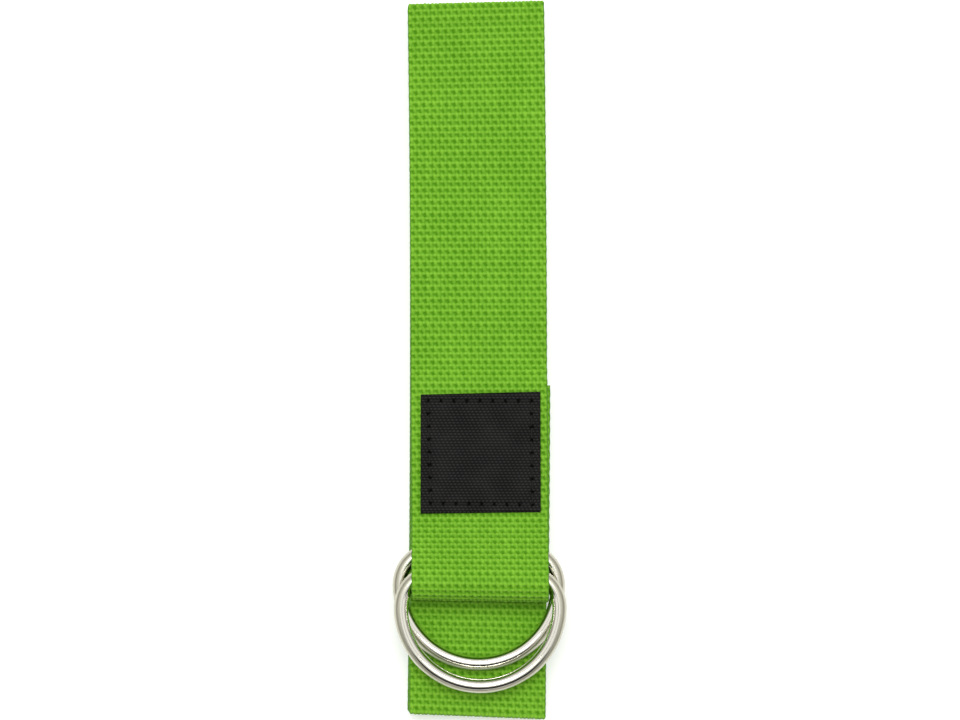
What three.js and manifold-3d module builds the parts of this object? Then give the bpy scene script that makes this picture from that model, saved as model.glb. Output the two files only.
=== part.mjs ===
// Stretching strap: one long webbing strap folded into a flat pack of nine runs. Its top run turns
// back under itself as a loop that holds two steel D-rings, and a sewn patch closes that loop.
//
// Frame: millimetres, +Z up, the strap's length along Y and its width along X. The origin is the
// middle of the underside. The rings are at the -Y end, and the top run is folded at the +Y end.
import * as THREE from "three";
import { mergeVertices } from "three/addons/utils/BufferGeometryUtils.js";
import Module from "manifold-3d";

const wasm = await Module();
wasm.setup();

// --- driving dimensions -------------------------------------------------------------------------

const WEB_WIDTH = 38; // 1.5 inch webbing
const WEB_THICK = 1.6;
const GAP = 0.3; // free space between two layers
const RUNS = 9;
const PACK_LENGTH = 198.5;

const TAIL_END_Y = -7; // where the turned-under tail stops
const TAIL_CLEAR = 0.7; // the top layer is level again this far before the tail's end
const TAIL_STEP = 5.8; // the length in which the top layer climbs onto the tail
const RAMP_START_Y = -43.4; // from here the top layer climbs over the rings' bars
const LOOP_END_Y = -66.5; // outermost point of the loop
const LOOP_TOP_REACH = 5.1; // the loop's upper quarter, along the strap and upwards
const LOOP_TOP_RISE = 5.3;
const LOOP_UNDER_REACH = 6.5; // the loop's lower quarter, along the strap

const RING_WIRE = 4;
const RING_WIDTH = 47.6; // outside the wire
const RING_HEIGHT = 35.4;
const RING_CORNER = 9.3; // radius of the wire's centre line at the two corners
const UNDER_BAR_Y = -52.3;
const BAR_SPACING = 6; // from one straight bar to the other, along the strap
const RING_RISE = 3.95; // from one ring's straight bar up to the other's
const RING_TILT = 3.3; // degrees: each bow rests lower than its bar

const PATCH_SIDE = 33.4;
const PATCH_THICK = 1;
const PATCH_Y = -26;
const SEAM_INSET = 2.4; // from the patch's edge to the line of stitches
const THREAD_WIDTH = 0.5;
const THREAD_THICK = 0.4;
const TROUGH_WIDTH = 1.1; // the hollow that the thread is pulled into
const TROUGH_DEPTH = 0.6;

// --- values worked out from them ----------------------------------------------------------------

const PITCH = WEB_THICK + GAP; // from one layer to the next
const HALF_THICK = WEB_THICK / 2;
const BEND_RADIUS = WEB_THICK + GAP / 2; // outside of a fold, about the plane between two runs
const BEND_START = Math.asin(GAP / 2 / BEND_RADIUS); // angle at which a fold's half stops short
const FOLD_CENTRE_Y = PACK_LENGTH / 2 - BEND_RADIUS;

const TOP_RUN_Z = (RUNS - 1) * PITCH; // underside of the top run
const TAIL_Z = TOP_RUN_Z + HALF_THICK; // middle of the tail's thickness
const ON_TAIL_Z = TAIL_Z + PITCH; // middle of the layer that lies on the tail
const UNDER_BAR_Z = TOP_RUN_Z + PITCH + RING_WIRE / 2;
const OVER_BAR_Z = UNDER_BAR_Z + RING_RISE;

const LOOP_Z = OVER_BAR_Z - GAP; // where the loop stands upright, at its outermost point
const LOOP_FRONT_Y = LOOP_END_Y + HALF_THICK;
const PATCH_Z = ON_TAIL_Z + HALF_THICK + GAP;
const SEAM_SIDE = PATCH_SIDE - 2 * SEAM_INSET;

const BEND_STEPS = 10;
const CURVE_STEPS = 14;
const RING_STEPS = 84;
const RING_SIDES = 12;

// --- materials ----------------------------------------------------------------------------------

const webbing = new THREE.MeshStandardMaterial({ color: 0x71b02d, roughness: 0.85, metalness: 0 });
const steel = new THREE.MeshStandardMaterial({ color: 0xc9c5bc, roughness: 0.18, metalness: 1 });
const leatherette = new THREE.MeshStandardMaterial({ color: 0x262524, roughness: 0.7, metalness: 0 });
const thread = new THREE.MeshStandardMaterial({ color: 0x101010, roughness: 0.6, metalness: 0 });

// --- helpers ------------------------------------------------------------------------------------

function namedMesh(name, geometry, material) {
  const mesh = new THREE.Mesh(geometry, material);
  mesh.name = name;
  return mesh;
}

// A geometry as a manifold-3d solid.
function solidOf(geometry) {
  const bare = new THREE.BufferGeometry();
  bare.setAttribute("position", geometry.getAttribute("position"));
  bare.setIndex(geometry.index);
  const merged = mergeVertices(bare, 1e-4);
  return new wasm.Manifold(
    new wasm.Mesh({
      numProp: 3,
      vertProperties: merged.getAttribute("position").array,
      triVerts: new Uint32Array(merged.index.array),
    }),
  );
}

// A geometry with another cut away from it.
function cut(geometry, tool) {
  const mesh = solidOf(geometry).subtract(solidOf(tool)).getMesh();
  const result = new THREE.BufferGeometry();
  result.setAttribute("position", new THREE.BufferAttribute(mesh.vertProperties, 3));
  result.setIndex(new THREE.BufferAttribute(mesh.triVerts, 1));
  return result;
}

// Extrudes an outline, drawn in Y and Z, across the strap's width.
function acrossWidth(outline) {
  const shape = new THREE.Shape(outline);
  const geometry = new THREE.ExtrudeGeometry(shape, { depth: WEB_WIDTH, bevelEnabled: false });
  geometry.translate(0, 0, -WEB_WIDTH / 2);
  const turn = new THREE.Matrix4().makeBasis(
    new THREE.Vector3(0, 1, 0),
    new THREE.Vector3(0, 0, 1),
    new THREE.Vector3(1, 0, 0),
  );
  return geometry.applyMatrix4(turn);
}

// The four corners of a square about the origin.
function square(side) {
  const turns = [0, 1, 2, 3];
  return turns.map((turn) => {
    const angle = (turn + 0.5) * (Math.PI / 2);
    return new THREE.Vector2(Math.cos(angle), Math.sin(angle)).multiplyScalar(side / Math.SQRT2);
  });
}

// A square frame lying flat on Z = bottom: the stitched line, or the trough it lies in.
function seamFrame(width, height, bottom) {
  const shape = new THREE.Shape(square(SEAM_SIDE + width));
  shape.holes.push(new THREE.Path(square(SEAM_SIDE - width)));
  const geometry = new THREE.ExtrudeGeometry(shape, { depth: height, bevelEnabled: false });
  return geometry.translate(0, PATCH_Y, bottom);
}

// --- webbing ------------------------------------------------------------------------------------

// Points of a run's end, from its lower face to its upper one. side is +1 or -1 along Y. turn is -1
// where the run folds down, +1 where it folds up and 0 where it is cut square. A fold is shared by
// two runs, each holding half of it: its outer corner, rounded about a line midway between them.
function runEnd(side, turn, bottom) {
  if (turn === 0) {
    const y = (side * PACK_LENGTH) / 2;
    return [new THREE.Vector2(y, bottom), new THREE.Vector2(y, bottom + WEB_THICK)];
  }
  const middle = turn < 0 ? bottom - GAP / 2 : bottom + WEB_THICK + GAP / 2;
  const points = [];
  for (let step = 0; step <= BEND_STEPS; step++) {
    const angle = BEND_START + ((Math.PI / 2 - BEND_START) * step) / BEND_STEPS;
    const y = side * (FOLD_CENTRE_Y + BEND_RADIUS * Math.cos(angle));
    points.push(new THREE.Vector2(y, middle - turn * BEND_RADIUS * Math.sin(angle)));
  }
  return turn < 0 ? points : points.reverse();
}

// A straight run. turnAtPlusY and turnAtMinusY say how each end folds.
function straightRun(bottom, turnAtPlusY, turnAtMinusY) {
  const outline = [
    ...runEnd(1, turnAtPlusY, bottom),
    ...runEnd(-1, turnAtMinusY, bottom).reverse(),
  ];
  return acrossWidth(outline);
}

// Middle line of the top run: from its fold, up onto the tail, over the rings' bars, round the loop
// and back along the tail.
function topRunLine() {
  const stepEnd = TAIL_END_Y + TAIL_CLEAR;
  const stepStart = stepEnd + TAIL_STEP;
  const stepMiddle = (stepStart + stepEnd) / 2;
  const topY = LOOP_FRONT_Y + LOOP_TOP_REACH;
  const underY = LOOP_FRONT_Y + LOOP_UNDER_REACH;
  const topZ = LOOP_Z + LOOP_TOP_RISE;
  const easing = 2.5; // how far each end of the ramp keeps its direction
  const line = new THREE.Path();
  line.moveTo(FOLD_CENTRE_Y, TAIL_Z);
  line.lineTo(stepStart, TAIL_Z);
  line.bezierCurveTo(stepMiddle, TAIL_Z, stepMiddle, ON_TAIL_Z, stepEnd, ON_TAIL_Z);
  line.lineTo(RAMP_START_Y, ON_TAIL_Z);
  line.bezierCurveTo(RAMP_START_Y - easing, ON_TAIL_Z, topY + easing, topZ, topY, topZ);
  line.absellipse(topY, LOOP_Z, LOOP_TOP_REACH, LOOP_TOP_RISE, Math.PI / 2, Math.PI);
  line.absellipse(underY, LOOP_Z, LOOP_UNDER_REACH, LOOP_Z - TAIL_Z, Math.PI, 1.5 * Math.PI);
  line.lineTo(TAIL_END_Y, TAIL_Z);
  return line.getPoints(CURVE_STEPS);
}

// A line moved sideways by distance, to the right of its direction.
function beside(line, distance) {
  return line.map((point, i) => {
    const before = line[Math.max(i - 1, 0)];
    const after = line[Math.min(i + 1, line.length - 1)];
    const along = new THREE.Vector2().subVectors(after, before).normalize();
    return new THREE.Vector2(point.x + along.y * distance, point.y - along.x * distance);
  });
}

function topRun() {
  const line = topRunLine();
  const outline = [
    ...runEnd(1, -1, TOP_RUN_Z).slice(0, -1),
    ...beside(line, HALF_THICK),
    ...beside(line, -HALF_THICK).reverse(),
  ];
  const troughBottom = TOP_RUN_Z - TROUGH_DEPTH;
  return cut(acrossWidth(outline), seamFrame(TROUGH_WIDTH, 2 * TROUGH_DEPTH, troughBottom));
}

// --- rings --------------------------------------------------------------------------------------

// Centre line of a D-ring lying flat: its straight bar on the X axis, its bow towards -Y.
class RingCurve extends THREE.Curve {
  constructor() {
    super();
    const bowRadius = (RING_WIDTH - RING_WIRE) / 2;
    const bowCentre = RING_HEIGHT - RING_WIRE - bowRadius;
    const barEnd = bowRadius - RING_CORNER;
    this.outline = new THREE.Path();
    this.outline.moveTo(-barEnd, 0);
    this.outline.lineTo(barEnd, 0);
    this.outline.absarc(barEnd, RING_CORNER, RING_CORNER, -Math.PI / 2, 0);
    this.outline.absarc(0, bowCentre, bowRadius, 0, Math.PI);
    this.outline.absarc(-barEnd, RING_CORNER, RING_CORNER, Math.PI, 1.5 * Math.PI);
  }

  getPoint(share, target = new THREE.Vector3()) {
    const point = this.outline.getPointAt(share);
    return target.set(point.x, -point.y, 0);
  }
}

function dRing(name, barY, barZ) {
  const wire = new THREE.TubeGeometry(
    new RingCurve(),
    RING_STEPS,
    RING_WIRE / 2,
    RING_SIDES,
    true,
  );
  const ring = namedMesh(name, wire, steel);
  ring.rotation.x = THREE.MathUtils.degToRad(RING_TILT);
  ring.position.set(0, barY, barZ);
  return ring;
}

// --- patch --------------------------------------------------------------------------------------

function patchPlate() {
  const shape = new THREE.Shape(square(PATCH_SIDE));
  const plate = new THREE.ExtrudeGeometry(shape, { depth: PATCH_THICK, bevelEnabled: false });
  plate.translate(0, PATCH_Y, PATCH_Z);
  const troughBottom = PATCH_Z + PATCH_THICK - TROUGH_DEPTH;
  return cut(plate, seamFrame(TROUGH_WIDTH, 2 * TROUGH_DEPTH, troughBottom));
}

// --- assembly -----------------------------------------------------------------------------------

const strap = new THREE.Group();

// Runs are counted from the bottom. The first is the strap's free end. Odd runs fold up at -Y and
// even runs at +Y, so the pack opens like a fan.
for (let run = 1; run < RUNS; run++) {
  const upSide = run % 2 ? -1 : 1;
  const turn = (side) => (side === upSide ? 1 : -1);
  const name = run === 1 ? "strap_free_end" : `strap_run_${run}`;
  const plusY = run === 1 ? 0 : turn(1);
  strap.add(namedMesh(name, straightRun((run - 1) * PITCH, plusY, turn(-1)), webbing));
}
strap.add(namedMesh("strap_ring_end", topRun(), webbing));

strap.add(dRing("d_ring_under", UNDER_BAR_Y, UNDER_BAR_Z));
strap.add(dRing("d_ring_over", UNDER_BAR_Y - BAR_SPACING, OVER_BAR_Z));

const seamTop = PATCH_Z + PATCH_THICK - TROUGH_DEPTH + GAP;
const seamUnder = TOP_RUN_Z + TROUGH_DEPTH - GAP - THREAD_THICK;
strap.add(namedMesh("patch", patchPlate(), leatherette));
strap.add(namedMesh("patch_stitches", seamFrame(THREAD_WIDTH, THREAD_THICK, seamTop), thread));
strap.add(namedMesh("patch_stitches_below", seamFrame(THREAD_WIDTH, THREAD_THICK, seamUnder), thread));

export default strap;
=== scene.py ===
# %% [markdown]
# # A stretching strap, folded into a flat pack
#
# The real thing is one long piece of coarse lime green webbing. Eight folds lay it in nine runs,
# one on the other. The top run turns back under itself round the bars of two steel D-rings, and a
# black patch is sewn over its end, which closes that loop.
#
# The imported model gives the frame: its bodies, their joints and their sizes. It is loaded first.

# %% Load the frame
import math

import bpy
import numpy as np
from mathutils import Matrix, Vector


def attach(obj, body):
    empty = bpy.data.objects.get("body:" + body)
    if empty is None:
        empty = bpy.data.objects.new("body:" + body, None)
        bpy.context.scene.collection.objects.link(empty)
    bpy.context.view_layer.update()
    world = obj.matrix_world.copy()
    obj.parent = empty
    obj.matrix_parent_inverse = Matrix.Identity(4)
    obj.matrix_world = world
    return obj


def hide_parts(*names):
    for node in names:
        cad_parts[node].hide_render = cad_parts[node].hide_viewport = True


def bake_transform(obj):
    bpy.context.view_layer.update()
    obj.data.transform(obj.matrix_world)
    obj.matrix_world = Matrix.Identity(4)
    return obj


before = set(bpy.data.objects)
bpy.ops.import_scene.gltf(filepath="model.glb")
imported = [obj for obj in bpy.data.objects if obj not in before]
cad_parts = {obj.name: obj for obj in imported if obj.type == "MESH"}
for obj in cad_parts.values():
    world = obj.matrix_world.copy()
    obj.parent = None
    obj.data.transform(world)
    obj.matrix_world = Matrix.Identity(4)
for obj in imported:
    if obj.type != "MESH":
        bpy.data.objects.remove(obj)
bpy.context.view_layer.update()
MM = 0.001

# %% [markdown]
# ## The camera
#
# The strap is seen from straight above. A long lens from over a metre away keeps the sides of the
# pack upright, so its lower runs hardly show. The frame is 265 mm wide at the height of the top
# run.

# %% Camera
VIEW_WIDTH = 265.3 * MM
TOP_RUN_LEVEL = 17.5 * MM
LENS, SENSOR = 176, 36
CAMERA_X, CAMERA_Y = 0.83 * MM, 0.03 * MM
NEAREST, FURTHEST = 0.05, 20  # metres from the camera that are drawn

camera = bpy.data.objects.new("camera", bpy.data.cameras.new("camera"))
camera.data.lens, camera.data.sensor_width = LENS, SENSOR
camera_height = TOP_RUN_LEVEL + VIEW_WIDTH * LENS / SENSOR
camera.location = (CAMERA_X, CAMERA_Y, camera_height)
camera.data.clip_start, camera.data.clip_end = NEAREST, FURTHEST
bpy.context.scene.collection.objects.link(camera)
bpy.context.scene.camera = camera
bpy.context.scene.view_settings.view_transform = "Standard"
print(f"camera {camera_height:.2f} m above the table")

# %% [markdown]
# ## Surfaces from arrays
#
# Every new piece is a surface worked out as whole arrays of points. Most are a closed section that
# is carried along a route: each station of the route is one row of the array. Neighbouring rows
# are joined by quads, and the two ends are closed. This could be done by dragging curves and
# profiles, but the arrays put each yarn of a weave exactly where a loom puts it.


# %% Put a surface into a mesh
def mesh_piece(name, points, quads, triangles=(), flat_from=None, **measures):
    """A mesh object from its points and faces. measures are named numbers, one for each point; one
    called cloth holds two numbers for each point and becomes the UV map of that name. Faces from
    number flat_from on, counting the quads first, are shaded flat. The volume is the sum of each
    face's corner tetrahedra about the origin; where it is negative the faces are turned round."""
    quads = np.asarray(quads, int).reshape(-1, 4)
    triangles = np.asarray(triangles, int).reshape(-1, 3)
    a, b, c, d = (points[quads[:, i]] for i in range(4))
    volume = (a * (np.cross(b, c) + np.cross(c, d))).sum()
    if len(triangles):
        a, b, c = (points[triangles[:, i]] for i in range(3))
        volume += (a * np.cross(b, c)).sum()
    if volume < 0:
        quads, triangles = quads[:, ::-1], triangles[:, ::-1]
    corners = np.concatenate([quads.ravel(), triangles.ravel()])
    sides = np.concatenate([np.full(len(quads), 4), np.full(len(triangles), 3)])
    mesh = bpy.data.meshes.new(name)
    mesh.vertices.add(len(points))
    mesh.vertices.foreach_set("co", points.astype(np.float32).ravel())
    mesh.loops.add(len(corners))
    mesh.loops.foreach_set("vertex_index", corners.astype(np.int32))
    mesh.polygons.add(len(sides))
    mesh.polygons.foreach_set("loop_start", (np.cumsum(sides) - sides).astype(np.int32))
    smooth = np.ones(len(sides), bool)
    if flat_from is not None:
        smooth[flat_from:] = False
    mesh.polygons.foreach_set("use_smooth", smooth)
    mesh.update(calc_edges=True)
    for key, values in measures.items():
        if key == "cloth":
            layer = mesh.uv_layers.new(name="cloth")
            layer.data.foreach_set("uv", values[corners].astype(np.float32).ravel())
        else:
            layer = mesh.attributes.new(key, "FLOAT", "POINT")
            layer.data.foreach_set("value", values.astype(np.float32))
    mesh.validate()
    piece = bpy.data.objects.new(name, mesh)
    bpy.context.scene.collection.objects.link(piece)
    return piece


# %% Join the points of a grid
def grid_quads(rows, columns, rows_close=False, columns_close=True):
    """Quads between neighbouring points of a grid. A point's number is its row times the number of
    columns, plus its column, and the last row or column may be joined to the first."""
    row = np.arange(rows if rows_close else rows - 1)[:, None]
    column = np.arange(columns if columns_close else columns - 1)[None, :]
    row_after, column_after = (row + 1) % rows, (column + 1) % columns
    corners = ((row, column), (row, column_after), (row_after, column_after), (row_after, column))
    return np.stack([(r * columns + c).ravel() for r, c in corners], axis=1)


# %% [markdown]
# ## The route of the webbing
#
# Seen from the side, the webbing follows one line: along the table, round a tight fold, back along
# the run below, and so on upwards. The ninth run climbs over its own turned-under tail and over
# the bars of the rings, goes round in a loop and ends as that tail. The route is laid down as many
# short steps, and everything else asks it where a length of webbing lies. Places on it are given
# as Y and Z.

# %% Sizes of the webbing
WEB_WIDTH = 37.75 * MM  # woven a little narrower than its nominal 38 mm
WEB_THICK = 1.6 * MM
GAP = 0.3 * MM  # between two runs
RUNS = 9
PITCH = WEB_THICK + GAP
HALF_PACK = 99.25 * MM  # from the middle of the pack to the outside of its folds
FOLD_RADIUS = PITCH / 2  # of the middle line
FOLD_CENTRE = HALF_PACK - FOLD_RADIUS - WEB_THICK / 2
TAIL_Z = (RUNS - 1) * PITCH + WEB_THICK / 2
ON_TAIL_Z = TAIL_Z + PITCH
ROUTE_STEP = 0.04 * MM
print(f"{RUNS} runs, {PITCH / MM:.1f} mm apart")


# %% Lines, arcs and eased steps
def line_points(start, end):
    """Points on a straight line, a route step apart: start plus a share of end minus start."""
    start, end = np.array(start), np.array(end)
    share = np.linspace(0, 1, int(np.linalg.norm(end - start) / ROUTE_STEP) + 2)[:, None]
    return start + share * (end - start)


def arc_points(centre, radii, first, last):
    """Points on an ellipse: centre plus radii times the cosine and sine of an angle in degrees.
    There are 30, and one more for each degree and millimetre of radius."""
    angle = np.radians(np.linspace(first, last, int(abs(last - first) * max(radii) / MM) + 30))
    return np.stack([centre[0] + radii[0] * np.cos(angle), centre[1] + radii[1] * np.sin(angle)], 1)


def ease_points(start, end, lead):
    """A cubic curve from start to end. It leaves and arrives level, keeping its heading for lead."""
    share = np.linspace(0, 1, 400)[:, None]
    way = np.sign(end[0] - start[0])
    held = [start, (start[0] + way * lead, start[1]), (end[0] - way * lead, end[1]), end]
    weights = [(1 - share) ** 3, 3 * share * (1 - share) ** 2, 3 * share**2 * (1 - share), share**3]
    return sum(weight * np.array(point) for weight, point in zip(weights, held))


# %% Lay the route
STEP_START, STEP_END, STEP_LEAD = -0.5 * MM, -6.3 * MM, 2.9 * MM  # up over the end of the tail
RAMP_START, RAMP_LEAD = -43.4 * MM, 2.5 * MM  # up over the bars of the rings
LOOP_Z = 22.75 * MM  # where the loop stands upright
LOOP_TOP_Y, LOOP_TOP_RADII = -60.6 * MM, (5.1 * MM, 5.3 * MM)
LOOP_UNDER_Y, LOOP_UNDER_RADII = -59.2 * MM, (6.5 * MM, LOOP_Z - TAIL_Z)
LOOP_CROWN = (LOOP_TOP_Y, LOOP_Z + LOOP_TOP_RADII[1])
TAIL_END = -7 * MM

stretches = []
for run in range(1, RUNS):
    way = -1 if run % 2 else 1
    level = (run - 1) * PITCH + WEB_THICK / 2
    first_y = HALF_PACK if run == 1 else -way * FOLD_CENTRE
    stretches.append((f"run {run}", line_points((first_y, level), (way * FOLD_CENTRE, level))))
    turn = (-90, 90) if way > 0 else (270, 90)
    middle = (way * FOLD_CENTRE, level + FOLD_RADIUS)
    stretches.append((f"fold {run}", arc_points(middle, (FOLD_RADIUS, FOLD_RADIUS), *turn)))
stretches += [
    ("run 9", line_points((FOLD_CENTRE, TAIL_Z), (STEP_START, TAIL_Z))),
    ("step", ease_points((STEP_START, TAIL_Z), (STEP_END, ON_TAIL_Z), STEP_LEAD)),
    ("under patch", line_points((STEP_END, ON_TAIL_Z), (RAMP_START, ON_TAIL_Z))),
    ("ramp", ease_points((RAMP_START, ON_TAIL_Z), LOOP_CROWN, RAMP_LEAD)),
    ("loop top", arc_points((LOOP_TOP_Y, LOOP_Z), LOOP_TOP_RADII, 90, 180)),
    ("loop under", arc_points((LOOP_UNDER_Y, LOOP_Z), LOOP_UNDER_RADII, 180, 270)),
    ("tail", line_points((LOOP_UNDER_Y, TAIL_Z), (TAIL_END, TAIL_Z))),
]

# %% Measure the route
route = np.concatenate([points[:-1] for _, points in stretches] + [stretches[-1][1][-1:]])
route_at = np.concatenate([[0], np.cumsum(np.linalg.norm(np.diff(route, axis=0), axis=1))])
starts = np.cumsum([0] + [len(points) - 1 for _, points in stretches])
begin = {name: route_at[at] for (name, _), at in zip(stretches, starts)}
finish_at = {name: route_at[at] for (name, _), at in zip(stretches, starts[1:])}
heading = np.gradient(route, route_at, axis=0)
heading /= np.linalg.norm(heading, axis=1)[:, None]
print(f"webbing {route_at[-1]:.3f} m long, measured along its middle")

# %% [markdown]
# ## Small slips of the hand
#
# A strap that is folded by hand is never quite square. Each run lies a little to one side of the
# one below, the folds at both ends are a little skewed, and the ring end leans to the right.
# Without these slips the pack looks like a moulded block.

# %% Slips and skews
FOLD_SLIPS = [-0.3, -0.1, -0.3, -0.5, -0.26, -0.05, -0.34, 0.10, -0.33]  # mm, free end and folds
RING_END_SLIPS = [-0.1, 0.6, 0.8]  # mm, at the step, at the loop's top and at the tail's end
fold_middles = [(begin[f"fold {k}"] + finish_at[f"fold {k}"]) / 2 for k in range(1, RUNS)]
slip_at = [0] + fold_middles + [begin["step"], finish_at["loop top"], route_at[-1]]
slips = np.array(FOLD_SLIPS + RING_END_SLIPS) * MM
PACK_BOW = 0.6 * MM  # how far the middle of the pack lies to the right of its ends
SKEW_PLUS = 0.47 * MM  # how far the right-hand edge of a fold reaches out at +Y
SKEW_MINUS = -0.75 * MM  # and the same edge at -Y
SKEW_START = 40 * MM
print(f"side slips from {slips.min() / MM:.2f} to {slips.max() / MM:.2f} mm")


# %% Where a point of the webbing lies
def smooth_step(x):
    """0 below 0 and 1 above 1, and three x squared minus two x cubed in between."""
    x = np.clip(x, 0, 1)
    return x * x * (3 - 2 * x)


def on_route(at, across, height):
    """Points of the webbing: the route's place at length at, plus height along the normal that is
    the route's heading turned by a quarter, with across, the slip and the bow as X. The bow is 1
    minus the square of y over half the pack. All three inputs are arrays of one shape."""
    y, z = np.interp(at, route_at, route[:, 0]), np.interp(at, route_at, route[:, 1])
    along_y = np.interp(at, route_at, heading[:, 0])
    along_z = np.interp(at, route_at, heading[:, 1])
    y, z = y + along_z * height, z - along_y * height
    x = across + np.interp(at, slip_at, slips) + PACK_BOW * (1 - (y / HALF_PACK) ** 2)
    reach = smooth_step((np.abs(y) - SKEW_START) / (FOLD_CENTRE - SKEW_START))
    skew = np.where(y > 0, SKEW_PLUS, SKEW_MINUS) * across / (WEB_WIDTH / 2)
    return np.stack([x, y + reach * skew, z], axis=-1)


# %% [markdown]
# ## The weave
#
# This is a plain weave of fat yarns. 36 ends run along the strap, and a pick crosses them every
# 1.7 mm. An end goes over one pick and under the next, and its neighbours do the opposite, so the
# face is a chequerboard of short raised floats, with the picks showing as low ridges between them.
# The ends lie in pairs, one of each pair a little deeper, and their floats slant and differ in
# size. A bump texture would give shading but a smooth outline, so each float is real height in the
# mesh.

# %% Height of the weave
ENDS = 36
END_PITCH = WEB_WIDTH / ENDS
PICK_PITCH = 1.7 * MM
END_CLIMB = 0.25 * MM
WEAK_CLIMB = 0.60  # every other end lies a little deeper
END_BULGE = 0.44 * MM
END_HALF_WIDTH = 0.56  # of the pitch between ends
PAIR_CLOSING = 0.07  # of the pitch, by which an end lies nearer to the other of its pair
FLOAT_SLANT, SLANT_REACH = 0.38, 0.6
FLOAT_SHRINK = 0.4  # the smallest float climbs this much less than the largest
PICK_CLIMB = 0.20 * MM
PICK_BULGE = 0.40 * MM
PICK_HALF_WIDTH = 0.32  # of the pitch between picks
LAG = 0.55  # an end climbs out of a dip more slowly than it dives into it
LINE_RISE, LINE_WIDTH = 0.09 * MM, 0.15  # each pick lifts the ends that cross it, in a fine line
LEAST_HEIGHT = 0.12 * MM
FLOATS = 1200  # numbered along an end, more than the strap has
chance = np.random.RandomState(7)
float_size = chance.uniform(0.0, 1.0, (ENDS, FLOATS))
print(f"{ENDS} ends {END_PITCH / MM:.2f} mm apart, and a pick every {PICK_PITCH / MM:.1f} mm")


def weave_height(across, at, face):
    """Height of a face of the webbing over its middle, for across by at. An end's middle climbs as
    the cosine of the length from its float, in picks, and its section is half an ellipse. A pick's
    middle climbs where the ends dip, and its section is half an ellipse too. The face is the
    highest of them, plus a bell curve for the fine line over each pick. The length is delayed by
    the lag times a cosine. face is 1 for one face, and -1 for the other, where ends change places
    with picks."""
    place = (across / END_PITCH + ENDS / 2)[None, :]
    pick = (at / PICK_PITCH)[:, None]
    late = pick + face * LAG * (np.cos(2 * np.pi * pick) - 1) / (2 * np.pi)
    top = WEB_THICK / 2 - END_CLIMB - END_BULGE - LINE_RISE
    height = np.full((len(at), len(across)), LEAST_HEIGHT)
    for beside in (-1, 0, 1):
        end = np.clip(np.floor(place) + beside, 0, ENDS - 1).astype(int)
        parity = end + (0 if face > 0 else 1)
        from_float = (late - parity + 1) % 2 - 1
        float_number = np.round((pick - parity) / 2).astype(int) % FLOATS
        size = 1 - FLOAT_SHRINK * float_size[end, float_number]
        middle = end + 0.5 + PAIR_CLOSING * np.where(end % 2, -1, 1)
        slant = FLOAT_SLANT * np.clip(from_float, -SLANT_REACH, SLANT_REACH)
        aside = place - middle - slant * face
        bulge = np.sqrt(np.clip(1 - (aside / END_HALF_WIDTH) ** 2, 0, 1))
        climb = np.cos(np.pi * from_float) * size * np.where(end % 2, WEAK_CLIMB, 1)
        height = np.maximum(height, top + END_CLIMB * climb + END_BULGE * bulge)
    nearest = np.round(pick)
    dip = -face * np.cos(np.pi * (place - 0.5)) * np.cos(np.pi * nearest)
    bulge = np.sqrt(np.clip(1 - ((pick - nearest) / PICK_HALF_WIDTH) ** 2, 0, 1))
    height = np.maximum(height, top + PICK_CLIMB * dip + PICK_BULGE * bulge)
    return height + LINE_RISE * np.exp(-(((pick - nearest) / LINE_WIDTH) ** 2))


# %% [markdown]
# ## A length of webbing as a closed piece
#
# A section goes across the upper face, round one selvedge, back across the lower face and round
# the other selvedge. The face that shows gets four points to an end and six to a pick. The others
# get two and four, which is enough for the look of the edges and keeps the whole strap light.

# %% Sections along the webbing
LEAST_STATION_STEP = 0.02 * MM


def stations(start, end, per_pick, extra=()):
    """Lengths from start to end at which a section stands: even parts of a pick, and any extra."""
    first, last = math.ceil(start / PICK_PITCH * per_pick), int(end / PICK_PITCH * per_pick)
    even = np.arange(first, last + 1) * PICK_PITCH / per_pick
    inside = np.concatenate([even, np.asarray(extra, float)])
    clear = (inside > start + LEAST_STATION_STEP) & (inside < end - LEAST_STATION_STEP)
    return np.concatenate([[start], np.sort(inside[clear]), [end]])


# %% Faces of a closed band
def band_faces(rows, front_count, back_count, edge_count):
    """Faces of a closed band whose section runs across the front, down one edge, back across the
    back and up the other edge. Quads join the sections, and each end is closed with triangles: the
    front's points are shared out among the back's, and each edge's points go to the nearest
    corner."""
    columns = front_count + back_count + 2 * edge_count
    front = np.arange(front_count)
    right = np.concatenate([[front_count - 1], front_count + np.arange(edge_count)])
    back = front_count + edge_count + np.arange(back_count)[::-1]
    left = np.concatenate([columns - 1 - np.arange(edge_count), [back[0]]])
    ratio = (front_count - 1) // (back_count - 1)
    half = ratio // 2
    made = [np.stack([front[half:-1:ratio] if half else front[1:], back[1:], back[:-1]], 1)]
    for step in range(ratio):
        apex = back[:-1] if step < max(half, 1) else back[1:]
        made.append(np.stack([front[step:-1:ratio], front[step + 1 :: ratio], apex], 1))
    made.append(np.stack([right[:-1], right[1:], np.full(edge_count, back[-1])], 1))
    made.append(np.stack([np.full(edge_count, 0), left[1:], left[:-1]], 1))
    cap = np.concatenate(made)
    caps = np.concatenate([cap[:, ::-1], cap + (rows - 1) * columns])
    return grid_quads(rows, columns), caps


# %% Webbing piece
EDGE_BULGE = 0.42 * MM  # how far a selvedge stands out in its middle
EDGE_WAVE = 0.06 * MM  # how far each pick pulls it in
EDGE_SHARES = np.array([0.2, 0.5, 0.8])
FOLD_INSIDE = WEB_THICK / 2 - 0.08 * MM  # the inside of a fold is pressed smooth


def selvedge(start, end):
    """Heights down a selvedge at each station: start plus a share of end minus start."""
    return start[:, None] + (end - start)[:, None] * EDGE_SHARES[None, :]


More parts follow.
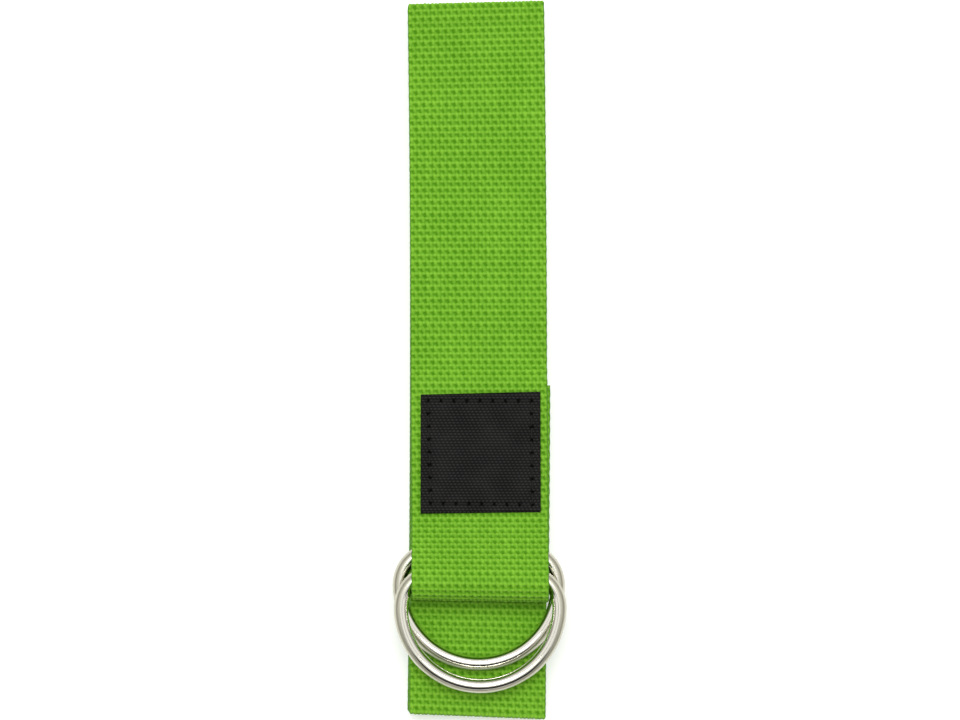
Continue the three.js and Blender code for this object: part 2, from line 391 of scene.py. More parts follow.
def webbing_piece(name, at, front_per_end, back_per_end, fine_face=1, flatten=None):
    """A closed length of webbing. at are its stations, and fine_face is the face with the closer
    points. flatten is the share by which the other face is evened out at each station. Across a
    selvedge, X stands out by the edge's bulge times the sine of half a turn's share."""
    inner = WEB_WIDTH / 2 - EDGE_BULGE
    front = np.linspace(-inner, inner, ENDS * front_per_end + 1)
    back = np.linspace(-inner, inner, ENDS * back_per_end + 1)
    heights = {}
    for face, across in ((fine_face, front), (-fine_face, back)):
        height = weave_height(across, at, face)
        if flatten is not None and face != fine_face:
            height = height + (FOLD_INSIDE - height) * flatten[:, None]
        heights[face] = height * face
    front_height, back_height = heights[fine_face], heights[-fine_face]
    wave = EDGE_WAVE * np.cos(np.pi * at / PICK_PITCH)[:, None]
    bulge = np.sin(np.pi * EDGE_SHARES)[None, :]
    across = np.concatenate(
        [
            np.broadcast_to(front, front_height.shape),
            inner + (EDGE_BULGE + wave) * bulge,
            np.broadcast_to(back[::-1], back_height.shape),
            -inner - (EDGE_BULGE - wave) * bulge,
        ],
        axis=1,
    )
    height = np.concatenate(
        [
            front_height,
            selvedge(front_height[:, -1], back_height[:, -1]),
            back_height[:, ::-1],
            selvedge(back_height[:, 0], front_height[:, 0]),
        ],
        axis=1,
    )
    along = np.broadcast_to(at[:, None], across.shape)
    points = on_route(along, across, height).reshape(-1, 3)
    quads, caps = band_faces(len(at), len(front), len(back), len(EDGE_SHARES))
    # The measure crown is the height of the face; the material turns it into painted light on the
    # floats' tops and painted shade between the yarns.
    crown = np.abs(height).reshape(-1) / (WEB_THICK / 2)
    cloth = np.stack([across.reshape(-1), along.reshape(-1)], 1)
    piece = mesh_piece(name, points, quads, caps, len(quads), crown=crown, cloth=cloth)
    print(f"{name}: {len(quads) * 2 + len(caps)} triangles, {(at[-1] - at[0]) / MM:.1f} mm")
    return piece


# %% [markdown]
# ## Runs and folds
#
# Each straight run is a body of its own, so that the pack can be opened like a fan. A fold is a
# separate short piece between two runs: it stays fixed where it lies and belongs to neither body.
# Every cut between two pieces lies on a float's highest point, where it can't be seen.

# %% Where the webbing is cut
FOLD_REACH = 5.1 * MM  # each side of a fold's middle, so that a fold is a bit over 10 mm of webbing
FOLD_ANGLES = np.radians([2, 4, 6.5, 10, 15, 22, 32, 45, 60, 75, 90])
FOLD_STATIONS = FOLD_RADIUS * np.concatenate([-FOLD_ANGLES[::-1], [0], FOLD_ANGLES])
bodies = ["free_end"] + [f"run_{k}" for k in range(2, RUNS)] + ["ring_end"]
cad_nodes = ["strap_free_end"] + [f"strap_run_{k}" for k in range(2, RUNS)] + ["strap_ring_end"]

# the inside of a fold is smooth for this far on each side of its middle, and then fades
PRESSED_REACH, PRESSED_FADE = 1.9 * MM, 1.5 * MM
SHOWN_OF_RUN_8 = 38 * MM  # its end beyond the loop shows from above


def pick_before(at):
    """The last pick at or before a length: the length in picks, rounded down."""
    return math.floor(at / PICK_PITCH) * PICK_PITCH


def pick_after(at):
    """The first pick at or after a length: the length in picks, rounded up."""
    return math.ceil(at / PICK_PITCH) * PICK_PITCH


fold_span = {}
for k in range(1, RUNS):
    fold_span[k] = (pick_before(slip_at[k] - FOLD_REACH), pick_after(slip_at[k] + FOLD_REACH))
print("folds begin at", ", ".join(f"{start / MM:.0f}" for start, _ in fold_span.values()), "mm")

# %% Make the runs
webbing = []


def declare_webbing(piece):
    """Adds a piece to the list of webbing, which is given the webbing material further on."""
    webbing.append(piece)
    return piece


for run in range(1, RUNS):
    start = 0.0 if run == 1 else fold_span[run - 1][1]
    end = fold_span[run][0]
    if run == RUNS - 1:
        shown_end = pick_after(begin["run 8"] + SHOWN_OF_RUN_8)
        at = stations(start, shown_end, 6)
        piece = declare_webbing(webbing_piece("webbing_run_8_end", at, 4, 2, -1))
        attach(piece, bodies[run - 1])
        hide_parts(cad_nodes[run - 1])
        start = shown_end
    at = stations(start, end, 4)
    piece = declare_webbing(webbing_piece(f"webbing_run_{run}", at, 2, 2))
    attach(piece, bodies[run - 1])
    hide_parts(cad_nodes[run - 1])

# %% Make the folds
for fold in range(1, RUNS):
    start, end = fold_span[fold]
    shown = fold >= RUNS - 2
    at = stations(start, end, 6 if shown else 4, slip_at[fold] + FOLD_STATIONS)
    pressed = 1 - smooth_step((np.abs(at - slip_at[fold]) - PRESSED_REACH) / PRESSED_FADE)
    outer_face = -1 if fold % 2 else 1
    piece = webbing_piece(f"webbing_fold_{fold}", at, 4 if shown else 2, 2, outer_face, pressed)
    declare_webbing(piece)
    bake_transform(piece)
    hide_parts(cad_nodes[fold - 1], cad_nodes[fold])

# %% [markdown]
# ## The ring end
#
# The ninth run and its loop are one long length on the ring end's body. It is cut into three
# pieces only because a piece should stay under 200,000 triangles. The tail is hidden, so it is
# coarser.

# %% Make the top run, the loop and the tail
CUT_BEFORE_STEP, CUT_AFTER_LOOP = 9 * MM, 2 * MM
loop_from = pick_before(begin["step"] - CUT_BEFORE_STEP)
loop_to = pick_after(begin["tail"] + CUT_AFTER_LOOP)
for name, start, end, per_pick, lies_on in (
    ("webbing_top_run", fold_span[8][1], loop_from, 6, ["webbing_run_8"]),
    ("webbing_ring_loop", loop_from, loop_to, 6, ["webbing_tail"]),
    ("webbing_tail", loop_to, float(route_at[-1]), 4, ["webbing_run_8"]),
):
    at = stations(start, end, per_pick)
    piece = webbing_piece(name, at, 4 if per_pick == 6 else 2, 2)
    declare_webbing(piece)
    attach(piece, "ring_end")
    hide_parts("strap_ring_end")

# %% [markdown]
# ## The D-rings
#
# A D-ring is bent from one length of 4 mm wire: a straight bar, two tight corners and a wide bow.
# The wire springs a little as it is bent, so the corners run smoothly into the bow. That is why
# the curvature is worked out first and evened out, and the line is then summed up from its
# headings.

# %% Sizes of the rings
WIRE = 3.94 * MM  # 4 mm wire, drawn a little under its size
CORNER, BOW = 9.3 * MM, 21.8 * MM  # radii of the bends
BAR_HALF = 12.5 * MM
SHANK = 0.3 * MM  # the straight between a corner and the bow
BEND_EASING = 2.2 * MM
FINE_STATIONS = 7200
RING_STATIONS = 360
WIRE_SIDES = 40
RING_TILT = math.radians(3.3)
WELD_RISE, WELD_WIDTH = 0.09 * MM, 1.1 * MM
DULL_AND_PAINTED_EDGE_SIDE, DULL_AND_PAINTED_EDGE_BOW = 0.10, 0.47  # where the rougher outside with its painted reflection begins, as a cosine


def ring_line():
    """The wire's middle line in X and Y with its headings: the curvature of each stretch, averaged
    over the bend easing, is summed up to the heading, and the heading's cosine and sine to the
    line. What is left open at the end is shared out evenly, so that the line closes."""
    lengths = [BAR_HALF, CORNER * math.pi / 2, SHANK, BOW * math.pi, SHANK, CORNER * math.pi / 2]
    ends = np.cumsum(lengths + [BAR_HALF])
    curvature = np.array([0, -1 / CORNER, 0, -1 / BOW, 0, -1 / CORNER, 0])
    step = ends[-1] / FINE_STATIONS
    at = (np.arange(FINE_STATIONS) + 0.5) * step
    bends = curvature[np.searchsorted(ends, at)]
    window = int(BEND_EASING / step)
    for _ in range(2):
        around = np.concatenate([bends[-window:], bends, bends[:window]])
        bends = np.convolve(around, np.ones(2 * window + 1) / (2 * window + 1), "valid")
    turned = np.cumsum(bends) * step
    turned *= -2 * math.pi / turned[-1]
    line = np.cumsum(np.stack([np.cos(turned), np.sin(turned)], 1), axis=0) * step
    line -= np.linspace(0, 1, FINE_STATIONS)[:, None] * line[-1]
    chosen = np.arange(RING_STATIONS) * FINE_STATIONS // RING_STATIONS
    return line[chosen], turned[chosen], at[chosen]


# %% A ring from its middle line
def ring_piece(name, aside, bar_y, bar_z):
    """A ring whose bar lies at bar_y and bar_z. At each point of the line stands a circle, outwards
    times cosine plus upwards times sine, and the whole is turned by the tilt. The bar carries the
    low bulge of its butt weld, a bell curve of the length from the weld. The measure outer is the
    circle's cosine less the cosine at which the rougher outside begins, whose colour carries a
    painted reflection."""
    line, turned, at = ring_line()
    angle = np.arange(WIRE_SIDES) * 2 * math.pi / WIRE_SIDES
    outwards = np.stack([-np.sin(turned), np.cos(turned)], 1)[:, None, :]
    whole = at[-1] + at[1] - at[0]
    from_weld = np.minimum(at, whole - at)
    radius = WIRE / 2 + WELD_RISE * np.exp(-((from_weld / WELD_WIDTH) ** 2))
    flat = line[:, None, :] + outwards * (radius[:, None] * np.cos(angle))[:, :, None]
    rise = radius[:, None] * np.sin(angle)
    x, y = flat[:, :, 0], flat[:, :, 1]
    points = np.stack(
        [
            x + aside,
            bar_y + y * math.cos(RING_TILT) - rise * math.sin(RING_TILT),
            bar_z + y * math.sin(RING_TILT) + rise * math.cos(RING_TILT),
        ],
        axis=-1,
    ).reshape(-1, 3)
    on_bow = np.clip(-outwards[:, 0, 1], 0, 1)[:, None] ** 2
    # The rougher outside, with its painted reflection, reaches further round on the bow than on the
    # sides.
    dull_and_painted_edge = DULL_AND_PAINTED_EDGE_SIDE + (DULL_AND_PAINTED_EDGE_BOW - DULL_AND_PAINTED_EDGE_SIDE) * on_bow
    outer = (np.cos(angle)[None, :] - dull_and_painted_edge).reshape(-1)
    cloth = np.stack(np.broadcast_arrays(at[:, None], angle * WIRE / 2), -1).reshape(-1, 2)
    quads = grid_quads(RING_STATIONS, WIRE_SIDES, rows_close=True)
    piece = mesh_piece(name, points, quads, outer=outer, cloth=cloth)
    size = (points.max(0) - points.min(0)) / MM
    print(f"{name}: {size[0]:.1f} by {size[1]:.1f} mm, {len(quads) * 2} triangles")
    return piece


# %% Make the rings
ring_under = ring_piece("ring_under", 0.5 * MM, -52.3 * MM, 19.1 * MM)
ring_over = ring_piece("ring_over", 0.9 * MM, -58.3 * MM, 23.05 * MM)
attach(ring_under, "ring_under")
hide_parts("d_ring_under")
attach(ring_over, "ring_over")
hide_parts("d_ring_over")

# %% [markdown]
# ## The patch
#
# A square of black leatherette covers the end of the tail. It was cut and sewn on by hand, so its
# corners aren't quite square. Its edge is rounded, the seam pulls a shallow trough into it, and
# each stitch ends in a small pit. The grain is rows of little ridges, each row a third of a ridge
# along from the last, which the eye joins into diagonal lines.

# %% Sizes of the patch
PATCH_TOP = 19.72 * MM
PATCH_BOTTOM = 18.70 * MM
PATCH_SIDE = 33 * MM
PATCH_CORNERS = np.array([[-15.6, -42.4], [17.6, -42.0], [17.5, -8.7], [-15.55, -9.5]]) * MM
SEAM_CORNERS = np.array([[-12.8, -39.5], [15.3, -40.0], [15.0, -11.3], [-13.5, -11.3]]) * MM
STITCHES_A_SIDE = 8
PATCH_RIM = 0.55 * MM  # width of the rounded edge
RIM_SHARES = np.array([0.03, 0.12, 0.3, 0.6])  # of the rim, where extra rows of points lie
RIM_START = 0.3 * MM  # over the underside, where the rounding begins
EDGE_MIDDLE = 0.15 * MM  # over the underside, halfway up the cut edge
GRAIN_ROW, GRAIN_LENGTH, GRAIN_HEIGHT = 0.77 * MM, 1.1 * MM, 0.12 * MM
TROUGH_DEPTH, TROUGH_WIDTH = 0.10 * MM, 0.45 * MM
PIT_DEPTH, PIT_WIDTH = 0.62 * MM, 0.45 * MM
thickness = (PATCH_TOP - PATCH_BOTTOM) / MM
print(f"patch {thickness:.2f} mm thick, with {4 * STITCHES_A_SIDE} stitches round it")


# %% The seam round the patch
def between_corners(corners, a, b):
    """Points of a four-cornered field: corners weighted by the shares a along X and b along Y."""
    a, b = a[..., None], b[..., None]
    lower = corners[0] * (1 - a) + corners[1] * a
    upper = corners[3] * (1 - a) + corners[2] * a
    return lower * (1 - b) + upper * b


def seam_points(per_side, shift=0.0):
    """Points spaced evenly round the seam: on each side, its first corner plus a share of it."""
    share = ((np.arange(per_side) + shift) / per_side)[None, :, None]
    start, end = SEAM_CORNERS[:, None, :], np.roll(SEAM_CORNERS, -1, axis=0)[:, None, :]
    return (start + share * (end - start)).reshape(-1, 2)


def seam_depth(place):
    """Depth of the seam's trough and pits at places: the trough falls off as a bell curve of the
    distance from the nearest side of the seam, and each pit as one of the distance from it."""
    depth = np.zeros(place.shape[:-1])
    for start, end in zip(SEAM_CORNERS, np.roll(SEAM_CORNERS, -1, axis=0)):
        side = end - start
        share = np.clip(((place - start) @ side) / (side @ side), 0, 1)
        away = np.linalg.norm(place - start - share[..., None] * side, axis=-1)
        depth = np.maximum(depth, TROUGH_DEPTH * np.exp(-((away / TROUGH_WIDTH) ** 2)))
    for pit in seam_points(STITCHES_A_SIDE):
        away = np.linalg.norm(place - pit, axis=-1)
        depth = np.maximum(depth, PIT_DEPTH * np.exp(-((away / PIT_WIDTH) ** 2)))
    return depth


# %% The patch piece
def rim_share(share):
    """0 at the very edge and 1 inside the rim, rising as a quarter of a circle."""
    inside = np.clip(np.minimum(share, 1 - share) * PATCH_SIDE / PATCH_RIM, 0, 1)
    return np.sqrt(1 - (1 - inside) ** 2)


def grain_ridges(place):
    """The grain's ridges from 0 to 1: the squared sine across a row times a fifth, and four fifths
    of the squared sine along it. Each row starts a third of a ridge further along."""
    row = place[..., 1] / GRAIN_ROW
    along = place[..., 0] / GRAIN_LENGTH + np.floor(row) / 3
    return np.sin(math.pi * (row % 1)) ** 2 * (0.2 + 0.8 * np.sin(math.pi * (along % 1)) ** 2)


def field_points(a, b, height):
    """Points of the patch at shares a and b, with one height or a height for each as Z."""
    flat = between_corners(PATCH_CORNERS, a, b)
    return np.concatenate([flat, np.broadcast_to(height, flat.shape[:2])[..., None]], axis=-1)


def patch_piece(name, across=221, back=45):
    """The patch as a band: across the top, down one edge, back across the underside and up the
    other edge, for each row from the lower side to the upper one. The top rises from the rim's
    start to the full height as the rim's share, with the grain added and the seam's depth taken
    off. The measure ridge is the grain, less up to 2 in the pits; the material paints the ridges
    lighter as painted highlight and the pits black as painted shade."""
    near = PATCH_RIM / PATCH_SIDE * RIM_SHARES
    rows = np.sort(np.concatenate([np.linspace(0, 1, across), near, 1 - near]))
    a, b = np.meshgrid(np.linspace(0, 1, across), rows)
    place = between_corners(PATCH_CORNERS, a, b)
    shape = rim_share(a) * rim_share(b)
    ridge, depth = grain_ridges(place), seam_depth(place)
    top = PATCH_BOTTOM + RIM_START + (PATCH_TOP - PATCH_BOTTOM - RIM_START) * shape
    top = top + GRAIN_HEIGHT * ridge * shape - depth
    a_back, b_back = np.meshgrid(np.linspace(0, 1, back)[::-1], rows)
    one = np.ones((len(rows), 1))
    edge_height = PATCH_BOTTOM + EDGE_MIDDLE
    points = np.concatenate(
        [
            field_points(a, b, top),
            field_points(one, rows[:, None], edge_height),
            field_points(a_back, b_back, PATCH_BOTTOM),
            field_points(0 * one, rows[:, None], edge_height),
        ],
        axis=1,
    )
    shown = np.zeros(points.shape[:2])
    # Painted light and shade: the grain's ridges are painted lighter and the seam's pits black.
    shown[:, :across] = ridge - 2 * smooth_step((depth - 2 * TROUGH_DEPTH) / PIT_DEPTH)
    quads, caps = band_faces(len(rows), across, back, 1)
    points, shown = points.reshape(-1, 3), shown.reshape(-1)
    cloth = points[:, :2].copy()
    piece = mesh_piece(name, points, quads, caps, len(quads), ridge=shown, cloth=cloth)
    print(f"{name}: {len(quads) * 2 + len(caps)} triangles")
    return piece


# %% Make the patch
patch = patch_piece("sewn_patch")
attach(patch, "ring_end")
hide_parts("patch")

# %% [markdown]
# ## The stitches
#
# The seam is a lockstitch: one thread shows on the patch and another under the top run, and they
# cross inside the webbing at each pit. Each stitch is a short arch of thread, fattest in its
# middle.

# %% Stitches
THREAD = 0.46 * MM
ARCH_STEPS, THREAD_SIDES = 9, 8
ARCH_RISE, ARCH_SINK = 0.34 * MM, 0.22 * MM
STITCH_LENGTH = 3.2 * MM
SUNK_ABOVE, SUNK_BELOW = 0.08 * MM, 0.06 * MM  # how far the thread is pulled into the faces
STITCH_GAP = 0.10  # the share of a stitch that dips into the pit at each end


def stitches_piece(name, level, upwards):
    """All stitches of one face of the seam as one mesh. A stitch runs from pit to pit. It stands
    over level by the arch's rise times the root of the sine of its share, less the arch's sink,
    and its section is a circle whose radius shrinks towards the ends as the same sine."""
    start = seam_points(STITCHES_A_SIDE, STITCH_GAP)
    end = seam_points(STITCHES_A_SIDE, 1 - STITCH_GAP)
    share = np.linspace(0, 1, ARCH_STEPS)
    arch = np.sqrt(np.sin(math.pi * share).clip(0)) * ARCH_RISE - ARCH_SINK
    radius = THREAD / 2 * (0.72 + 0.28 * np.sin(math.pi * share))
    angle = np.arange(THREAD_SIDES) * 2 * math.pi / THREAD_SIDES
    run = (end - start) / np.linalg.norm(end - start, axis=1)[:, None]
    aside = np.stack([-run[:, 1], run[:, 0]], 1)
    middle = start[:, None, :] + share[None, :, None] * (end - start)[:, None, :]
    out = radius[None, :, None] * np.cos(angle)[None, None, :]
    flat = middle[:, :, None, :] + out[..., None] * aside[:, None, None, :]
    height = arch[None, :, None] + radius[None, :, None] * np.sin(angle)[None, None, :]
    height = level + upwards * np.broadcast_to(height, flat.shape[:3])
    points = np.concatenate([flat, height[..., None]], axis=-1)
    one = grid_quads(ARCH_STEPS, THREAD_SIDES)
    last = (ARCH_STEPS - 1) * THREAD_SIDES
    fan = np.array([[0, i, i + 1] for i in range(1, THREAD_SIDES - 1)])
    ends = np.concatenate([fan[:, ::-1], fan + last])
    shift = (np.arange(len(start)) * ARCH_STEPS * THREAD_SIDES)[:, None, None]
    quads, caps = (one[None] + shift).reshape(-1, 4), (ends[None] + shift).reshape(-1, 3)
    along = np.broadcast_to(share[None, :, None] * STITCH_LENGTH, flat.shape[:3])
    around = np.broadcast_to(angle * THREAD / 2, flat.shape[:3])
    cloth = np.stack([along, around], -1).reshape(-1, 2)
    piece = mesh_piece(name, points.reshape(-1, 3), quads, caps, len(quads), cloth=cloth)
    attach(piece, "ring_end")
    print(f"{name}: {len(start)} stitches, {len(quads) * 2 + len(caps)} triangles")
    return piece


# %% Make the stitches
seam_above = stitches_piece("seam_stitches", PATCH_TOP - SUNK_ABOVE, 1)
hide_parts("patch_stitches")
seam_below = stitches_piece("seam_stitches_below", TAIL_Z - WEB_THICK / 2 + SUNK_BELOW, -1)
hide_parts("patch_stitches_below")

# %% [markdown]
# ## Materials as sums
#
# A material is a small calculation for each point of a surface. Written as nodes it is hard to
# read, so a socket is wrapped in a class on which +, - and * add the Math nodes for the sum.


# %% Sockets as values
class Wire:
    """One output of a material's nodes, as a number that differs from point to point."""

    def __init__(self, recipe, socket):
        self.recipe, self.socket = recipe, socket

    def sum(self, operation, first, second=0.0):
        values = {0: first, 1: second}
        return self.recipe.node("ShaderNodeMath", {"operation": operation}, values)

    def __add__(self, other):
        return self.sum("ADD", self, other)

    def __sub__(self, other):
        return self.sum("SUBTRACT", self, other)

    def __rsub__(self, other):
        return self.sum("SUBTRACT", other, self)

    def __mul__(self, other):
        return self.sum("MULTIPLY", self, other)

    __radd__, __rmul__ = __add__, __mul__

    def step(self, low, high):
        """0 where this is under low, 1 where it is over high, and smooth between."""
        settings = {"interpolation_type": "SMOOTHSTEP"}
        values = {"Value": self, "From Min": low, "From Max": high}
        return self.recipe.node("ShaderNodeMapRange", settings, values)


# %% A material as a recipe
class Recipe:
    """A material or world whose nodes are made by one method."""

    def __init__(self, owner):
        owner.use_nodes = True
        self.owner, self.tree = owner, owner.node_tree
        self.tree.nodes.clear()

    def node(self, kind, settings=(), values=(), output=0):
        """A node of a type, with its settings first and then its sockets' values or wires."""
        made = self.tree.nodes.new(kind)
        for name, value in dict(settings).items():
            setattr(made, name, value)
        for name, value in dict(values).items():
            if isinstance(value, Wire):
                self.tree.links.new(value.socket, made.inputs[name])
            else:
                made.inputs[name].default_value = value
        return Wire(self, made.outputs[output]) if len(made.outputs) else None

    def measure(self, name):
        """A number that the mesh holds for each point."""
        return self.node("ShaderNodeAttribute", {"attribute_name": name}, output="Fac")

    def cloth(self):
        """How far a point lies across and along the flat piece, in metres."""
        place = self.node("ShaderNodeUVMap", {"uv_map": "cloth"})
        return [self.node("ShaderNodeSeparateXYZ", {}, {0: place}, side) for side in "XY"]

    def noise(self, x, y, z, detail=2.0, rough=0.5):
        """Smooth noise from 0 to 1 whose grains are one unit of x, y and z apart."""
        place = self.node("ShaderNodeCombineXYZ", {}, {0: x, 1: y, 2: z})
        values = {"Vector": place, "Scale": 1.0, "Detail": detail, "Roughness": rough}
        return self.node("ShaderNodeTexNoise", {}, values)

    def place(self):
        """X, Y and Z of a point of the object, in metres."""
        here = self.node("ShaderNodeTexCoord", output="Object")
        return [self.node("ShaderNodeSeparateXYZ", {}, {0: here}, side) for side in "XYZ"]

    def mix(self, share, first, second):
        """Colour first where share is 0, second where it is 1."""
        values = {0: share, 6: first, 7: second}
        return self.node("ShaderNodeMix", {"data_type": "RGBA"}, values, 2)

    def bump(self, height, depth):
        """A normal for relief: height from 0 to 1 stands for depth in metres."""
        values = {"Height": height, "Distance": depth, "Strength": 1.0}
        return self.node("ShaderNodeBump", {}, values, "Normal")

    def surface(self, **values):
        """Ends the recipe in a Principled shader, whose sockets are named with _ for a space."""
        named = {key.replace("_", " "): value for key, value in values.items()}
        shader = self.node("ShaderNodeBsdfPrincipled", {}, named)
        self.node("ShaderNodeOutputMaterial", {}, {"Surface": shader})
        return self.owner


def new_recipe(name):
    """A recipe for a new material of that name."""
    return Recipe(bpy.data.materials.new(name))


def dress(pieces, material):
    """Gives pieces a material."""
    for piece in pieces:
        piece.data.materials.append(material)
    print(f"{material.name}: {len(pieces)} pieces")


# %% [markdown]
# ## Lime green webbing
#
# The yarns are bundles of dyed filaments. Light and shade are painted into their colour: the crown
# of each float is painted pale as painted highlight, and the low places between the yarns deep green
# as painted shade. Fine streaks run along them, and the dye takes a little unevenly over the length
# of the strap. Each noise below is given its grains per millimetre across and along.

# %% Webbing material
MILLI = 1 / MM  # metres to millimetres
# The deep green is painted shade between the yarns, and the pale green is a painted highlight on the
# crowns of the floats.
PAINTED_SHADE_GREEN, PAINTED_LIGHT_GREEN = (0.065, 0.225, 0.002, 1), (0.215, 0.485, 0.034, 1)
FILAMENT_RELIEF = 0.035 * MM

recipe = new_recipe("lime_webbing")
across, along = recipe.cloth()
across, along = across * MILLI, along * MILLI
crown = recipe.measure("crown")
streaks = recipe.noise(across * 9.0, along * 1.3, 0.0, 3.0, 0.6)
twist = recipe.noise(across * 4.0 + along * 2.5, along * 3.0, 4.0, 2.0)
patches = recipe.noise(across * 0.08, along * 0.05, 9.0, 3.0)
yarns = recipe.noise(across * 0.95, along * 0.12, 2.0, 1.0)
# Painted light and shade: the crown measure paints the floats' tops pale and the low places deep
# green; the noises add uneven dye and streaks.
painted_light_and_dye = crown.step(0.20, 1.0) * 0.92 + (streaks - 0.5) * 0.7 + (patches - 0.5) * 0.35
painted_light_and_dye = painted_light_and_dye + (yarns - 0.5) * 0.35
dress(
    webbing,
    recipe.surface(
        Base_Color=recipe.mix(painted_light_and_dye, PAINTED_SHADE_GREEN, PAINTED_LIGHT_GREEN),
        Roughness=0.62 + (streaks - 0.5) * 0.3,
        Normal=recipe.bump(streaks * 0.6 + twist * 0.4, FILAMENT_RELIEF),
        Sheen_Weight=0.03,
        Sheen_Roughness=0.5,
        Specular_IOR_Level=0.1,
    ),
)

# %% [markdown]
# ## Nickel plate
#
# Bright nickel is a little yellower than chrome. The outside of the wire is rougher, and a darker
# beige is painted into its colour there as a painted reflection, reaching further round on the bow
# than on the sides, while the inside of the bow stays bright. Very fine scratches run along it.

# %% Ring material
NICKEL, PAINTED_REFLECTION_NICKEL = (0.82, 0.80, 0.71, 1), (0.52, 0.51, 0.41, 1)
SCRATCH_RELIEF = 0.002 * MM

recipe = new_recipe("bright_nickel")
along, around = recipe.cloth()
along, around = along * MILLI, around * MILLI
outer = recipe.measure("outer")
scratches = recipe.noise(along * 0.5, around * 14.0, 1.0, 3.0, 0.7)
clouds = recipe.noise(along * 0.25, around * 0.8, 5.0, 3.0)
# Painted reflection: the outside of the wire gets the darker beige colour, and it is also made
# rougher.
dull_and_painted_reflection = (outer + (clouds - 0.5) * 0.10).step(-0.03, 0.07)
dress(
    [ring_under, ring_over],
    recipe.surface(
        Base_Color=recipe.mix(dull_and_painted_reflection, NICKEL, PAINTED_REFLECTION_NICKEL),
        Metallic=1.0,
        Roughness=0.05 + dull_and_painted_reflection * 0.28 + (scratches - 0.5) * 0.04,
        Normal=recipe.bump(scratches, SCRATCH_RELIEF),
    ),
)

# %% [markdown]
# ## Black leatherette and thread
#
# The patch is matt black, and greyer in patches where it has been rubbed. A lighter grey is painted
# on top of its ridges as painted highlight, and the pits of its seam are painted black as painted
# shade. Its grain is in the mesh, and a finer pore is added as relief.
# The thread is two plies twisted together.

# %% Patch material
BLACK, RUBBED_AND_PAINTED_LIGHT_BLACK = (0.0010, 0.0010, 0.0009, 1), (0.0260, 0.0250, 0.0240, 1)
FINE_RELIEF = 0.06 * MM

recipe = new_recipe("black_leatherette")
x, y, z = (side * MILLI for side in recipe.place())
ridge = recipe.measure("ridge")
pores = recipe.noise(x * 3.5, y * 3.5, z * 3.5, 3.0, 0.6)
rubbed = recipe.noise(x * 0.16, y * 0.16, z * 0.16, 3.0)
# Painted light and shade: the ridge measure paints the grain's tops lighter and the pits black; the
# noises add real pores and rubbed patches.
rubbed_and_painted_shading = ridge * 0.8 + (pores - 0.5) * 0.5 + (rubbed - 0.5) * 0.5
dress(
    [patch],
    recipe.surface(
        Base_Color=recipe.mix(rubbed_and_painted_shading.step(-0.1, 0.9), BLACK, RUBBED_AND_PAINTED_LIGHT_BLACK),
        Roughness=0.62 - ridge * 0.12 + (pores - 0.5) * 0.2,
        Normal=recipe.bump(pores, FINE_RELIEF),
        Specular_IOR_Level=0.08,
    ),
)

# %% Thread material
THREAD_BLACK, FUZZ_BLACK = (0.008, 0.008, 0.008, 1), (0.024, 0.023, 0.022, 1)
PLIES_ALONG, PLIES_AROUND = 1.4, 1.38  # turns for each millimetre along and around the thread

recipe = new_recipe("black_thread")
along, around = recipe.cloth()
along, around = along * MILLI, around * MILLI
turns = along * PLIES_ALONG + around * PLIES_AROUND
plies = recipe.node("ShaderNodeMath", {"operation": "SINE"}, {0: turns * 2 * math.pi})
fuzz = recipe.noise(along * 3.0, around * 9.0, 3.0, 2.0)
dress(
    [seam_above, seam_below],
    recipe.surface(
        Base_Color=recipe.mix(fuzz, THREAD_BLACK, FUZZ_BLACK),
        Roughness=0.75 + (fuzz - 0.5) * 0.3,
        Normal=recipe.bump(plies * 0.5 + fuzz * 0.3, FINE_RELIEF),
        Specular_IOR_Level=0.08,
    ),
)

# %% [markdown]
# ## Table and light
#
# The strap lies on a pale light table, which glows a little so that the shadows round the pack
# stay faint. A tent of white cloth hangs over it, bright above and dimmer towards the table.
# Polished rings show the whole tent, so it has what a real one has: a dark seam round its top
# panel, a dark bar across its near side and a shelf on its far side. They draw the thin dark lines
# along the wire. A soft box hangs high up, a little to the far side, and gives each float a lit
# side and a shaded one.

# %% Table
TABLE_SIDE = 9.0  # metres, so that its edge stays far out of sight
TABLE_DROP = 0.15 * MM  # under the lowest float, so that the two surfaces don't meet
half = TABLE_SIDE / 2
corners = np.array([[-half, -half, 0], [half, -half, 0], [half, half, 0], [-half, half, 0]])
table_mesh = bpy.data.meshes.new("table")
table_mesh.from_pydata((corners - [0, 0, TABLE_DROP]).tolist(), [], [(0, 1, 2, 3)])
table = bpy.data.objects.new("table", table_mesh)
bpy.context.scene.collection.objects.link(table)
recipe = new_recipe("light_table")
dress(
    [table],
    recipe.surface(
        Base_Color=(0.82, 0.82, 0.82, 1),
        Roughness=0.9,
        Specular_IOR_Level=0.0,
        Emission_Color=(1, 1, 1, 1),
        Emission_Strength=0.35,
    ),
)

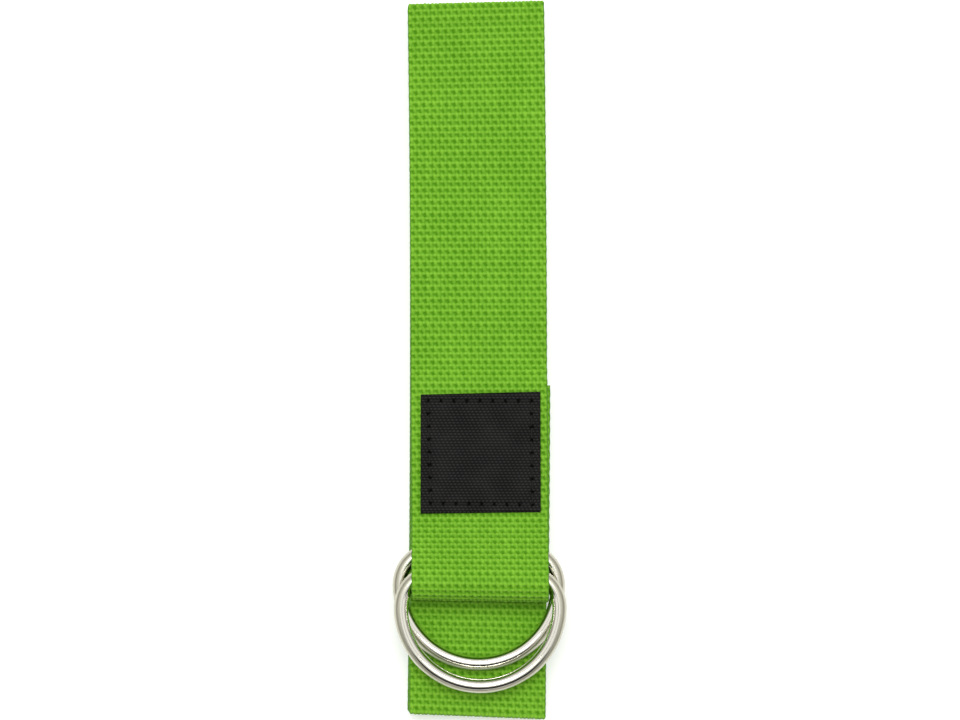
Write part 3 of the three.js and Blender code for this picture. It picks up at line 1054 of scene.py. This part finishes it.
# %% Tent
WALL_COLOUR, ROOF_COLOUR = (1.0, 0.96, 0.89, 1), (1.0, 1.0, 0.985, 1)

world = bpy.data.worlds.new("tent")
bpy.context.scene.world = world
recipe = Recipe(world)
towards = recipe.node("ShaderNodeTexCoord", output="Generated")
far, up = (recipe.node("ShaderNodeSeparateXYZ", {}, {0: towards}, side) for side in "YZ")


def leaning(degrees):
    """Cosine of the angle from an axis that leans from the zenith towards the near side: up times
    the lean's cosine less far times its sine."""
    lean = math.radians(degrees)
    return up * math.cos(lean) - far * math.sin(lean)


def band(height, low, full, fade, high):
    """1 between full and fade, 0 under low and over high, and smooth between."""
    return height.step(low, full) * (1 - height.step(fade, high))


roof = up.step(0.45, 0.60)
seam = band(up, 0.925, 0.932, 0.948, 0.955)  # about 20 degrees from the zenith
under_bar = leaning(1).step(0.93, 0.945)
bar = leaning(9).step(0.69, 0.72) * (1 - under_bar) * (far * -1).step(0.28, 0.42)
shelf = band(far, 0.86, 0.885, 0.915, 0.94)
glow = (0.42 + roof * 0.56) * (1 - seam * 0.75) * (1 - bar * 0.97) * (1 - shelf * 0.5)
shade = recipe.mix(roof, WALL_COLOUR, ROOF_COLOUR)
backdrop = recipe.node("ShaderNodeBackground", {}, {"Color": shade, "Strength": glow})
recipe.node("ShaderNodeOutputWorld", {}, {"Surface": backdrop})
print(f"tent: {len(recipe.tree.nodes)} nodes")


# %% Soft box
def soft_box(name, place, aim, size, power):
    """A rectangular light at place that faces aim, of a size in metres and a power in watts."""
    lamp = bpy.data.lights.new(name, "AREA")
    lamp.shape, lamp.size, lamp.size_y, lamp.energy = "RECTANGLE", *size, power
    holder = bpy.data.objects.new(name, lamp)
    holder.location = place
    holder.rotation_euler = (Vector(aim) - Vector(place)).to_track_quat("-Z", "Y").to_euler()
    bpy.context.scene.collection.objects.link(holder)
    print(f"{name}: {size[0]} by {size[1]} m, {place[2]} m up, {power} W")


soft_box("soft_box", place=(0.0, 0.30, 1.45), aim=(0, 0, 0), size=(0.7, 0.7), power=15.0)
